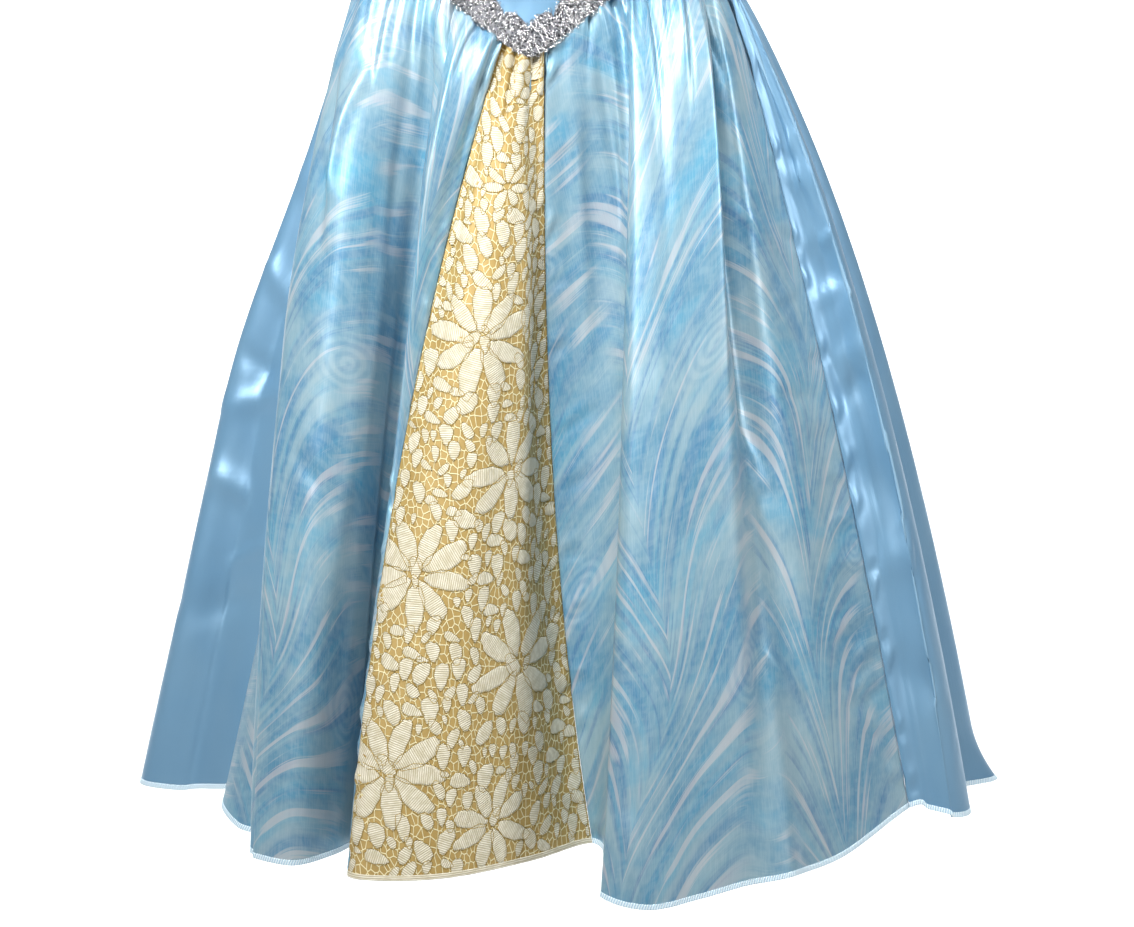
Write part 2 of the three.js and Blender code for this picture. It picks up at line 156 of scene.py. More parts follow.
# A value between the rows of the bodice's sections: column 1 is the half width, 2 the front, 3 the back
def readBodice(column, level):
    rows = np.array(bodiceSections, float)
    levels, values = rows[:, 0], rows[:, column]
    level = np.clip(level, levels[-1], levels[0])
    i = np.clip(np.searchsorted(-levels, -level, side="right") - 1, 0, len(rows) - 2)
    high = np.maximum(np.arange(len(rows)) - 1, 0)
    low = np.minimum(np.arange(len(rows)) + 1, len(rows) - 1)
    slopes = (values[low] - values[high]) / (levels[high] - levels[low])
    span = levels[i] - levels[i + 1]
    share = (levels[i] - level) / span
    p, q, m, n = values[i], values[i + 1], slopes[i] * span, slopes[i + 1] * span
    eased = p + share * (m + share * (3 * (q - p) - 2 * m - n + share * (m + n - 2 * (q - p))))
    return np.where(i == 0, p + share * (q - p), eased)


def bodicePoint(angle, level):
    across, ahead = np.sin(angle), np.cos(angle)
    depth = np.where(ahead > 0, readBodice(2, level), readBodice(3, level))
    x = readBodice(1, level) * across
    nearShoulder = np.maximum(0, 1 + level / 120)
    fall = shoulder["slope"] * np.maximum(0, np.abs(x) - shoulder["neckHalfWidth"]) * nearShoulder**2
    return np.stack([x, -depth * ahead, level - fall], axis=-1)


def seamLevel(angle):
    rounded = np.hypot(np.sin(angle), waist["rounding"])
    front = waist["level"] - waist["pointDrop"] * (1 - rounded / math.hypot(1, waist["rounding"]))
    return np.where(np.cos(angle) <= 0, waist["level"], front)


# A point of the skirt's outer surface: u counts the turns, fall goes from 0 at the waist to 1 at the hem
def skirtPoint(u, fall):
    angle = np.radians(readTurns("waist", u))
    top = bodicePoint(angle, seamLevel(angle) - cloth["seamGap"])
    hemZ = hemLevel - readTurns("low", u)
    drop = fall * (top[..., 2] - hemZ)
    flare = readTurns("flare", u)
    start = flareStart**flare
    spread = ((fall + flareStart) ** flare - start) / ((1 + flareStart) ** flare - start)
    bow = 4 * spread * (1 - spread)
    turnAngle = np.radians(readTurns("waist", u + 0.5) - readTurns("waist", u - 0.5))
    turnWidth = turnAngle * np.hypot(top[..., 0], top[..., 1])
    onLace = (u <= seams["laceRight"]) | (u >= len(turns))
    depth = np.where(onLace, 0, np.minimum(gather["greatest"], gather["depthShare"] * turnWidth))
    shown = (1 - np.exp(-drop / gather["rise"])) * np.exp(-drop / gather["fade"])
    gathers = depth * np.cos(2 * math.pi * u) * shown
    puff = readTurns("puff", u) * (drop / puffLevel) * np.exp(1 - drop / puffLevel)
    swell = readTurns("billow", u) * np.exp(-(((fall - billow["middle"]) / billow["width"]) ** 2))
    kick = readTurns("kick", u) * (np.maximum(0, fall - kickStart) / (1 - kickStart)) ** 2
    out = gathers + puff + swell + kick
    x, y, z = top[..., 0], top[..., 1], top[..., 2]
    x = x + spread * (readTurns("x", u) - x) + bow * readTurns("bowX", u) + out * np.sin(angle)
    y = y + spread * (readTurns("y", u) - y) + bow * readTurns("bowY", u) - out * np.cos(angle)
    return np.stack([x, y, z + fall * (hemZ - z)], axis=-1)


# Outward normals of a grid of points whose first index runs to the right and whose second runs down
def gridNormals(points):
    normals = np.cross(np.gradient(points, axis=1), np.gradient(points, axis=0))
    return normals / np.linalg.norm(normals, axis=-1, keepdims=True)


# Lengths along the cloth in mm: across from the middle column, and down from the top row
def flatLengths(points):
    stepAcross = np.linalg.norm(np.diff(points, axis=0), axis=-1)
    across = np.concatenate([np.zeros((1, points.shape[1])), np.cumsum(stepAcross, axis=0)])
    across -= across[points.shape[0] // 2]
    stepDown = np.linalg.norm(np.diff(points, axis=1), axis=-1)
    down = np.concatenate([np.zeros((points.shape[0], 1)), np.cumsum(stepDown, axis=1)], axis=1)
    return across, down


def linear(hexColour):
    channels = [int(hexColour[i:i + 2], 16) / 255 for i in (0, 2, 4)]
    return (*[c / 12.92 if c <= 0.04045 else ((c + 0.055) / 1.055) ** 2.4 for c in channels], 1)


def newMaterial(name, **values):
    material = bpy.data.materials.new(name)
    material.use_nodes = True
    shader = material.node_tree.nodes["Principled BSDF"]
    for key, value in values.items():
        shader.inputs[key.replace("_", " ")].default_value = value
    return material, shader


def addNode(material, kind, inputs=None, **settings):
    node = material.node_tree.nodes.new(kind)
    for key, value in settings.items():
        setattr(node, key, value)
    for key, value in (inputs or {}).items():
        if isinstance(value, bpy.types.NodeSocket):
            material.node_tree.links.new(value, node.inputs[key])
        else:
            node.inputs[key].default_value = value
    return node


def calc(material, operation, *values):
    return addNode(material, "ShaderNodeMath", dict(enumerate(values)), operation=operation).outputs[0]


def blendColour(material, share, first, second):
    inputs = {"Factor": share, 6: first, 7: second}
    return addNode(material, "ShaderNodeMix", inputs, data_type="RGBA").outputs[2]


# Goes from 0 to 1 as a value goes from low to high, or the other way round where low is above high
def step(material, value, low, high):
    inputs = {"Value": value, "From Min": low, "From Max": high}
    return addNode(material, "ShaderNodeMapRange", inputs, interpolation_type="SMOOTHSTEP").outputs[0]


# Soft noise in patches of a given width and height in mm
def noise(material, x, y, width, height, start=0.0, detail=2.0):
    x, y = calc(material, "DIVIDE", x, float(width)), calc(material, "DIVIDE", y, float(height))
    place = addNode(material, "ShaderNodeCombineXYZ", {"X": x, "Y": y, "Z": start}).outputs[0]
    inputs = {"Vector": place, "Scale": 1.0, "Detail": detail}
    return addNode(material, "ShaderNodeTexNoise", inputs).outputs[0]


# The place on the flat cloth, in mm
def flatPlace(material):
    uv = addNode(material, "ShaderNodeUVMap", uv_map="flat").outputs[0]
    parts = addNode(material, "ShaderNodeSeparateXYZ", {0: uv}).outputs
    return calc(material, "MULTIPLY", parts[0], 1000.0), calc(material, "MULTIPLY", parts[1], 1000.0)


def linkBump(material, shader, height, depth, before=None):
    inputs = {"Height": height, "Distance": depth * mm, "Strength": 1.0}
    if before:
        inputs["Normal"] = before
    bump = addNode(material, "ShaderNodeBump", inputs).outputs[0]
    material.node_tree.links.new(bump, shader.inputs["Normal"])
    return bump


def linkColour(material, shader, colour):
    material.node_tree.links.new(colour, shader.inputs["Base Color"])


# Patch width, height and depth in mm of a light satin's crinkles and of its fine lengthwise rib
satin = {
    "crinkle": (45, 80, 2.6), "rib": (0.9, 14, 0.1), "dark": "5786A8", "light": "7298B1", "reverse": "789BB2",
}


def satinRelief(material, shader, x, y):
    width, height, depth = satin["crinkle"]
    bump = linkBump(material, shader, noise(material, x, y, width, height), depth)
    width, height, depth = satin["rib"]
    linkBump(material, shader, noise(material, x, y, width, height, 4.0), depth, bump)


# Polyester satin: a smooth warp face with a soft broad gloss
plainSatin, shader = newMaterial(
    "plain satin", Roughness=0.41, Metallic=0.3, Specular_IOR_Level=0.95, Sheen_Weight=0.08)
x, y = flatPlace(plainSatin)
tone = blendColour(plainSatin, noise(plainSatin, x, y, 60, 90), linear(satin["dark"]), linear(satin["light"]))
linkColour(plainSatin, shader, tone)
satinRelief(plainSatin, shader, x, y)

# The reverse of the satin is duller
satinReverse, _ = newMaterial("satin reverse", Base_Color=linear(satin["reverse"]), Roughness=0.6)

# The same satin printed with brushed plumes: strokes that rise from upright stems and bend outwards
printedSatin, shader = newMaterial(
    "printed satin", Roughness=0.38, Metallic=0.2, Specular_IOR_Level=0.52, Sheen_Weight=0.08)
p = printedSatin
x, y = flatPlace(p)
plume = {
    "spacing": 165.0, "rise": 140.0, "bend": 31.0, "stagger": 37.0, "width": 0.3, "warp": 75.0, "slant": 0.3,
    "ring": 27.0, "ringDrop": 230.0, "ringStagger": 83.0, "ringWaves": 0.95, "ringStrength": 0.24,
}
xWarped = calc(p, "MULTIPLY_ADD", noise(p, x, y, 150, 210, 3.0, 0.0), plume["warp"], x)
yWarped = calc(p, "MULTIPLY_ADD", noise(p, x, y, 130, 150, 9.0, 0.0), plume["warp"], y)
stems = calc(p, "DIVIDE", xWarped, plume["spacing"])
stem = calc(p, "ROUND", stems)
fromStem = calc(p, "MULTIPLY", calc(p, "SUBTRACT", stems, stem), plume["spacing"])
away = calc(p, "ABSOLUTE", fromStem)
fade = calc(p, "EXPONENT", calc(p, "DIVIDE", away, -plume["bend"]))
arched = calc(p, "MULTIPLY_ADD", fade, -plume["rise"], yWarped)
arched = calc(p, "MULTIPLY_ADD", stem, plume["stagger"], arched)
seed = calc(p, "MULTIPLY_ADD", stem, 2.7, calc(p, "MULTIPLY", calc(p, "SIGN", fromStem), 5.3))
inPlume = step(p, away, 0.49 * plume["spacing"], plume["width"] * plume["spacing"])
between = calc(p, "SUBTRACT", 1.0, inPlume)
sweep = calc(p, "MULTIPLY_ADD", xWarped, plume["slant"], yWarped)
clouds = noise(p, x, y, 62, 70, 21.0, 4.0)
stain = noise(p, x, y, 70, 52, 33.0, 4.0)
touch = noise(p, x, y, 40, 32, 3.0, 1.0)
bristles = noise(p, arched, away, 1.3, 45, seed)
hairs = noise(p, sweep, x, 1.3, 45, 8.0)
colour = blendColour(p, step(p, clouds, 0.34, 0.66), linear("4E839F"), linear("819FAB"))
colour = blendColour(p, calc(p, "MULTIPLY", step(p, stain, 0.5, 0.66), 0.5), colour, linear("4893B2"))
# Across and along a stroke, its fine lines, where it is drawn and its noise's offset
plumeStroke = (arched, away, bristles, inPlume, seed)
sweepStroke = (sweep, x, hairs, between, 0.0)
# Width and length of the strokes, where their noise starts, how much of it shows, strength, touch and colour
strokes = [
    (plumeStroke, 22, 120, 3.0, 0.51, 0.7, 0.6, 0.3, "3B739A"),
    (plumeStroke, 12, 80, 17.0, 0.56, 0.7, 0.4, 0.3, "5496B0"),
    (plumeStroke, 15, 110, 31.0, 0.55, 0.75, 0.5, 0.3, "98ADB3"),
    (plumeStroke, 8, 80, 47.0, 0.58, 0.72, 0.5, -0.3, "366893"),
    (plumeStroke, 8, 85, 59.0, 0.6, 0.71, 0.55, -0.3, "BCB9BA"),
    (sweepStroke, 20, 110, 67.0, 0.51, 0.7, 0.6, -0.3, "3B739A"),
    (sweepStroke, 11, 90, 73.0, 0.55, 0.72, 0.5, -0.3, "98ADB3"),
    (sweepStroke, 9, 80, 79.0, 0.58, 0.7, 0.55, -0.3, "BCB9BA"),
]
for (over, along, lines, where, offset), width, length, start, low, high, strength, press, tint in strokes:
    field = noise(p, over, along, width, length, calc(p, "ADD", offset, start), 0.6)
    streaked = calc(p, "MULTIPLY_ADD", calc(p, "SUBTRACT", lines, 0.5), 0.34, field)
    streaked = calc(p, "MULTIPLY_ADD", calc(p, "SUBTRACT", touch, 0.5), press, streaked)
    shown = calc(p, "MULTIPLY", calc(p, "MULTIPLY", step(p, streaked, low, high), strength), where)
    colour = blendColour(p, shown, colour, linear(tint))
mottle = step(p, noise(p, x, y, 8, 6, 15.0, 4.0), 0.42, 0.62)
colour = blendColour(p, calc(p, "MULTIPLY", mottle, 0.22), colour, linear("8FA8B2"))
weave = step(p, noise(p, x, y, 0.8, 16, 12.0, 1.0), 0.4, 0.65)
colour = blendColour(p, calc(p, "MULTIPLY", weave, 0.14), colour, linear("AEBDC4"))
# Faint rings in a column beside each stem
ringX = calc(p, "SUBTRACT", fromStem, 0.36 * plume["spacing"])
ringPlace = calc(p, "MULTIPLY_ADD", stem, plume["ringStagger"], yWarped)
ringRow = calc(p, "FRACT", calc(p, "DIVIDE", ringPlace, plume["ringDrop"]))
ringY = calc(p, "MULTIPLY", calc(p, "SUBTRACT", ringRow, 0.5), plume["ringDrop"])
squares = calc(p, "ADD", calc(p, "MULTIPLY", ringX, ringX), calc(p, "MULTIPLY", ringY, ringY))
fromRing = calc(p, "MULTIPLY_ADD", clouds, 8.0, calc(p, "SQRT", squares))
waves = calc(p, "SINE", calc(p, "MULTIPLY", fromRing, plume["ringWaves"]))
ringColour = blendColour(p, step(p, waves, -0.9, 0.9), linear("5A8BAA"), linear("9AB4C0"))
inRing = calc(p, "MULTIPLY", step(p, fromRing, plume["ring"] + 6, plume["ring"] - 9), plume["ringStrength"])
linkColour(p, shader, blendColour(p, inRing, colour, ringColour))
satinRelief(p, shader, x, y)
print("satins made")

# Ivory and yellow net over a gold lining
goldLace, shader = newMaterial("gold lace", Roughness=0.55, Metallic=0.15)
net = {"width": 4.4, "height": 6.2, "thread": 0.085, "relief": 0.5}
x, y = flatPlace(goldLace)
place = addNode(goldLace, "ShaderNodeCombineXYZ", {
    "X": calc(goldLace, "DIVIDE", x, net["width"]), "Y": calc(goldLace, "DIVIDE", y, net["height"]),
    "Z": 0.0}).outputs[0]
cells = addNode(goldLace, "ShaderNodeTexVoronoi", {"Vector": place, "Scale": 1.0, "Randomness": 0.75},
                feature="DISTANCE_TO_EDGE", voronoi_dimensions="2D").outputs["Distance"]
thread = step(goldLace, cells, net["thread"], net["thread"] - 0.04)
ground = blendColour(goldLace, noise(goldLace, x, y, 16, 22, 2.0), linear("93783F"), linear("AE9559"))
linkColour(goldLace, shader, blendColour(goldLace, thread, ground, linear("DDD3A8")))
linkBump(goldLace, shader, thread, net["relief"])

# Ivory thread laid in close ribs, with painted shade: a darker colour in the grooves between the ribs
ivoryThread, shader = newMaterial("ivory thread", Roughness=0.6, Sheen_Weight=0.2)
ivoryRib = {"spacing": 1.5, "relief": 0.12}
x, y = flatPlace(ivoryThread)
rib = calc(ivoryThread, "SINE", calc(ivoryThread, "MULTIPLY", y, 2 * math.pi / ivoryRib["spacing"]))
worn = step(ivoryThread, noise(ivoryThread, x, y, 7, 4), 0.35, 0.65)
pale = blendColour(ivoryThread, worn, linear("C2BBA2"), linear("D8D3C0"))
# painted shade: where the rib's bump is low, between the ribs, the colour goes darker
shown = step(ivoryThread, rib, -1.0, 0.2)
linkColour(ivoryThread, shader, blendColour(ivoryThread, shown, linear("A4997B"), pale))
linkBump(ivoryThread, shader, rib, ivoryRib["relief"])

# Dull gold cord round each motif
goldCord, _ = newMaterial("gold cord", Base_Color=linear("9C8443"), Roughness=0.5, Metallic=0.2)

# Overlock thread along the hem, with painted shade: a darker blue in the grooves between the stitches
hemThread, shader = newMaterial("hem thread", Roughness=0.6)
overlock = {"spacing": 1.9, "slant": 0.35, "relief": 0.25}
x, y = flatPlace(hemThread)
slanted = calc(hemThread, "MULTIPLY_ADD", y, overlock["slant"], x)
stitch = calc(hemThread, "SINE", calc(hemThread, "MULTIPLY", slanted, 2 * math.pi / overlock["spacing"]))
# painted shade: the low part of each stitch's bump takes the darker blue
colour = blendColour(hemThread, step(hemThread, stitch, -1.0, 0.2), linear("9CC0D6"), linear("DCEBF2"))
linkColour(hemThread, shader, colour)
linkBump(hemThread, shader, stitch, overlock["relief"])


# Silver tinsel with painted glints: each tiny grain is lighter or darker at random in its colour, and the same
# grains make its bump
def tinsel(name, dark, light, **values):
    material, shader = newMaterial(name, **values)
    place = addNode(material, "ShaderNodeTexCoord").outputs["Object"]
    grains = addNode(material, "ShaderNodeTexVoronoi", {"Vector": place, "Scale": 900.0}).outputs
    paintedGlint = addNode(material, "ShaderNodeSeparateColor", {0: grains["Color"]}).outputs[0]
    # painted glints: the brightest grains take the light colour
    shown = step(material, paintedGlint, 0.1, 0.75)
    linkColour(material, shader, blendColour(material, shown, linear(dark), linear(light)))
    linkBump(material, shader, paintedGlint, 0.7)
    return material


silverBraid = tinsel("silver braid", "8A8B90", "FFFFFF", Roughness=0.2, Metallic=0.9)
braidGround = tinsel("braid ground", "2B2D33", "8E9096", Roughness=0.4, Metallic=0.7)


def meshObject(name, bm, materials):
    mesh = bpy.data.meshes.new(name)
    bm.to_mesh(mesh)
    bm.free()
    piece = bpy.data.objects.new(name, mesh)
    bpy.context.scene.collection.objects.link(piece)
    for material in materials:
        mesh.materials.append(material)
    return piece


# A sheet through a grid of points in mm, with its flat lengths in metres as its texture coordinates
def sheetObject(name, points, lengths, materials, thickness=cloth["thickness"]):
    across, down = lengths
    columns, rows = points.shape[0] - 1, points.shape[1] - 1
    bm = bmesh.new()
    bmesh.ops.create_grid(bm, x_segments=columns, y_segments=rows, size=0.5)
    layer = bm.loops.layers.uv.new("flat")
    place = {}
    for vert in bm.verts:
        i, j = round((vert.co.x + 0.5) * columns), round((0.5 - vert.co.y) * rows)
        place[vert] = (i, j)
        vert.co = Vector(points[i, j]) * mm
    for face in bm.faces:
        face.smooth = True
        for loop in face.loops:
            i, j = place[loop.vert]
            loop[layer].uv = (across[i, j] * mm, down[i, j] * mm)
    piece = meshObject(name, bm, materials)
    wall = piece.modifiers.new("wall", "SOLIDIFY")
    wall.thickness = thickness * mm
    wall.offset = -1
    wall.material_offset = len(materials) - 1
    return piece


# A crease from one place (turn, fall) to another. A ridge fades at both ends, a gather starts at full height
# at the waist seam, a step lifts the cloth on its right, and an open one keeps its height to its lower end.
def crease(start, end, width, height, kind="ridge", **more):
    return dict(start=start, end=end, width=width, height=height, kind=kind, **more)


# How far creases lift the cloth off its smooth surface
def creaseLift(u, fall, lengths, creases):
    across, down = lengths
    lift = np.zeros_like(across)
    for made in creases:
        ends = []
        for place, drop in (made["start"], made["end"]):
            i, j = np.argmin(np.abs(u - place)), np.argmin(np.abs(fall - drop))
            ends.append((across[i, j], down[i, j]))
        (startX, startY), (endX, endY) = ends
        runX, runY = endX - startX, endY - startY
        length = math.hypot(runX, runY)
        share = np.clip(((across - startX) * runX + (down - startY) * runY) / length**2, 0, 1)
        offLine = ((across - startX) * runY - (down - startY) * runX) / length
        offLine = offLine - made.get("bow", 0) * 4 * share * (1 - share)
        if made["kind"] == "gather":
            along = np.cos(math.pi / 2 * share) ** 1.3
        elif made.get("open"):
            along = np.sin(math.pi / 2 * np.minimum(1, 3 * share))
        else:
            along = np.sin(math.pi * share) ** 0.7
        if made["kind"] == "step":
            profile = np.tanh(offLine / made["width"]) * np.exp(-np.abs(offLine) / made.get("reach", 18))
        else:
            profile = np.exp(-((offLine / made["width"]) ** 2))
        lift += made["height"] * along * profile
    return lift


# The folds and creases that the photograph shows, and similar ones where it doesn't reach
creases = {
    "lace_panel": [
        crease((0.4, 0.1), (1.4, 0.5), 7, 1.2),
        crease((2.6, 0.3), (2.4, 0.75), 9, -1.2),
        crease((3.2, 0.08), (2.9, 0.4), 6, 1),
    ],
    "printed_front_right": [
        crease((4.45, 0.06), (4.5, 0.4), 5, 3.2),
        crease((4.85, 0.03), (5.1, 0.3), 4, -4),
        crease((5.82, 0.02), (5.88, 1), 1.8, 5, kind="step", reach=9, open=True),
        crease((5.45, 0.03), (5.5, 1), 8, -7, open=True),
        crease((6.15, 0.05), (6.2, 0.9), 7, 2.4),
        crease((8.84, 0.03), (8.9, 0.48), 1.6, -5, kind="step", reach=15),
        crease((7.2, 0.05), (7.4, 0.5), 8, -1.4),
        crease((5.25, 0.03), (5.05, 0.34), 3.6, 3.4),
        crease((8.88, 0.36), (10.2, 0.56), 5, -2.4),
        crease((9.1, 0.42), (10.45, 0.6), 6, 2),
        crease((9.6, 0.745), (10.75, 0.82), 4, 2.4),
        crease((9.3, 0.77), (10.5, 0.86), 8, -1.6),
        crease((6.4, 0.9), (7.0, 1.0), 8, 1.6),
        crease((7.3, 0.9), (7.6, 1.0), 6, 2),
        crease((6.3, 0.3), (6.5, 0.75), 9, 1),
        crease((10.6, 0.3), (11.6, 0.36), 5, 1.6),
        crease((10.9, 0.5), (11.8, 0.53), 6, -1.5),
        crease((10, 0.5), (10, 1), 15, 6, open=True),
    ],
    "plain_side_right": [
        crease((13.2, 0.08), (13.5, 0.33), 1.6, -3.4, kind="step", reach=10),
        crease((13.1, 0.36), (14.2, 0.335), 4, 2.4),
        crease((12.9, 0.03), (12.75, 0.5), 11, 3),
        crease((12.1, 0.43), (13.6, 0.4), 6, 2),
        crease((12.3, 0.55), (13.4, 0.5), 8, -2),
        crease((12.6, 0.5), (12.85, 1), 15, 3, open=True),
        crease((13.2, 0.45), (13.7, 1), 15, -4, open=True),
        crease((14.6, 0.12), (14.7, 1), 28, -6, open=True),
        crease((12.3, 0.3), (14, 0.27), 12, 3),
        crease((12.2, 0.37), (13.9, 0.41), 13, -3),
        crease((12.4, 0.5), (14.2, 0.46), 12, 3),
        crease((12.2, 0.6), (13.8, 0.66), 15, -3),
        crease((12.5, 0.72), (14.4, 0.7), 15, 3),
        crease((12.3, 0.83), (13.9, 0.87), 13, -3),
        crease((13.0, 0.26), (14.0, 0.22), 5, 2.4),
    ],
    "plain_back_right": [
        crease((18.6, 0.3), (19.6, 0.36), 6, 2),
        crease((21.2, 0.45), (22.3, 0.5), 7, -2),
        crease((24.4, 0.25), (25.4, 0.33), 5, 2),
        crease((20.4, 0.66), (20.9, 0.9), 9, 1.6),
        crease((23.1, 0.6), (23.5, 0.88), 9, -1.8),
    ],
    "plain_back_left": [
        crease((27.2, 0.3), (28.4, 0.34), 6, 2),
        crease((29.4, 0.48), (30.5, 0.44), 7, -2),
        crease((31.6, 0.28), (32.8, 0.35), 5, 2),
        crease((28.5, 0.64), (28.9, 0.9), 9, -1.6),
        crease((32.3, 0.58), (32.6, 0.9), 9, 1.8),
    ],
    "plain_side_left": [
        crease((35.1, 0.38), (36.2, 0.44), 9, 4),
        crease((35.1, 0.49), (36.2, 0.52), 7, -2.4),
        crease((35.2, 0.63), (36.2, 0.66), 10, 4),
        crease((36.2, 0.1), (36.15, 1), 26, -17, open=True),
        crease((35.4, 0.6), (35.45, 1), 12, 4, open=True),
        crease((35.1, 0.3), (36.9, 0.27), 10, 4),
        crease((35, 0.56), (36.9, 0.53), 9, 3.5),
        crease((36.9, 0.7), (35.9, 0.74), 5, 2.5),
        crease((35.2, 0.8), (36.7, 0.77), 13, -3),
    ],
    "printed_front_left": [
        crease((42.65, 0.02), (42.5, 0.15), 1.6, 3.4, kind="step"),
        crease((41.55, 0.14), (41.7, 0.34), 1.8, 4, kind="step"),
        crease((42.5, 0.12), (41.8, 0.29), 4.5, 4, bow=-8),
        crease((41.2, 0.2), (42.0, 0.29), 5, 1.6),
        crease((44.72, 0.03), (44.72, 1), 1.8, 4.5, kind="step", reach=9, open=True),
        crease((44.3, 0.04), (44.35, 1), 8, -6, open=True),
        crease((43.5, 0.08), (43.2, 0.35), 6, -2),
        crease((41.1, 0.42), (41.2, 1), 2, 3.6, kind="step", reach=12, open=True),
        crease((43.3, 0.25), (42.9, 0.6), 8, 1.5),
        crease((44.4, 0.1), (44.6, 0.3), 5, 1.8),
        crease((45.2, 0.12), (45.8, 0.2), 4, 2),
        crease((41.5, 0.55), (42.6, 0.62), 8, -1.4),
        crease((39.6, 0.5), (40.3, 0.8), 8, 1.2),
    ],
}
# Where short puckers cross the seam between the right front and the side, by their fall
rightPuckers = [0.1, 0.17, 0.25, 0.34, 0.39, 0.47, 0.55, 0.62, 0.66, 0.71, 0.76, 0.8, 0.84, 0.9, 0.96]
# How far puckers reach from a seam, in turns
puckerReach = {"seam": 0.35, "rightFront": 0.5, "rightSide": 0.25}


# Uneven gathers that start at the waist seam: sharp valleys between rounder ridges
def waistGathers(start, end, count, seed):
    chance = random.Random(seed)
    made = []
    for k in range(count):
        place = start + (end - start) * (k + chance.uniform(0.2, 0.8)) / count
        drop = chance.uniform(0.05, 0.2) if k % 3 else chance.uniform(0.03, 0.09)
        lean = chance.uniform(-0.3, 0.3)
        size = dict(width=chance.uniform(1.5, 2.6), height=-chance.uniform(2.6, 5.2))
        if k % 2:
            size = dict(width=chance.uniform(2.8, 4.6), height=chance.uniform(1.6, 3.8))
        made.append(crease((place, 0), (place + lean, drop), kind="gather", **size))
    for k in range(count // 3):
        place = start + (end - start) * (k + chance.uniform(0.2, 0.8)) / (count // 3)
        foot = (place + chance.uniform(-0.3, 0.3), chance.uniform(0.14, 0.34))
        width = chance.uniform(5, 8)
        made.append(crease((place, 0), foot, width, (-1) ** k * chance.uniform(2.5, 5), "gather"))
    return made


# Short creases that run from a seam into the cloth on one side of it
def seamPuckers(seam, reach, falls, seed):
    chance = random.Random(seed)
    made = []
    for fall in falls:
        tip = (seam + reach * chance.uniform(0.5, 1.7), fall - chance.uniform(-0.01, 0.035))
        foot = (seam - 0.1 * reach, fall + 0.008)
        made.append(crease(foot, tip, chance.uniform(2.6, 4.6), chance.uniform(0.5, 1.9)))
        below = (foot[0], foot[1] + 0.014), (tip[0], tip[1] + 0.016)
        made.append(crease(*below, 3, -chance.uniform(0.5, 1.7)))
    return made


def evenFalls(count, seed):
    chance = random.Random(seed)
    return [(k + chance.uniform(0.1, 0.9)) / count for k in range(count)]


# Seams, mesh columns for each turn, mesh rows, slot, counts of gathers and puckers, and the cut in metres
panelColumns = (
    "start", "end", "columns", "rows", "slot", "gathers", "startPuckers", "endPuckers", "flat", "area")
panelRows = {
    "lace_panel": ("laceLeft", "laceRight", 32, 150, "gold_lace", 6, 10, 8, (0.21, 0.6), 0.077),
    "printed_front_right": ("laceRight", "right", 22, 150, "printed_satin", 27, 12, 0, (0.38, 0.69), 0.194),
    "plain_side_right": ("right", "rightSide", 18, 150, "plain_satin", 11, 0, 8, (0.28, 0.7), 0.126),
    "plain_back_right": ("rightSide", "back", 16, 110, "plain_satin", 20, 8, 8, (0.56, 0.69), 0.228),
    "plain_back_left": ("back", "leftSide", 16, 110, "plain_satin", 20, 8, 8, (0.54, 0.68), 0.22),
    "plain_side_left": ("leftSide", "left", 20, 150, "plain_satin", 9, 8, 8, (0.2, 0.67), 0.083),
    "printed_front_left": ("left", "end", 18, 150, "printed_satin", 27, 8, 12, (0.38, 0.68), 0.18),
}
skirtPanels = {name: dict(zip(panelColumns, row)) for name, row in panelRows.items()}
slotMaterials = {"gold_lace": goldLace, "printed_satin": printedSatin, "plain_satin": plainSatin}
seamGroove = {"width": 2.2, "depth": 1.1}
# The waist seam holds the creases down to a share of their height, up to a reach below it
waistHold = {"share": 0.25, "reach": 3}
hemBand = {"height": 4.2, "lift": 0.35, "thickness": 0.9, "overhang": 0.3, "rows": 5}


def panelCreases(name, panel):
    number = list(skirtPanels).index(name)
    start, end = seams[panel["start"]], seams[panel["end"]]
    made = creases[name] + waistGathers(start, end, panel["gathers"], 40 + number)
    reach = puckerReach["seam"]
    made += seamPuckers(start, reach, evenFalls(panel["startPuckers"], 60 + number), 70 + number)
    made += seamPuckers(end, -reach, evenFalls(panel["endPuckers"], 80 + number), 90 + number)
    if name == "printed_front_right":
        made += seamPuckers(end, -puckerReach["rightFront"], rightPuckers, 7)
    if name == "plain_side_right":
        made += seamPuckers(start, puckerReach["rightSide"], rightPuckers, 8)
    return made


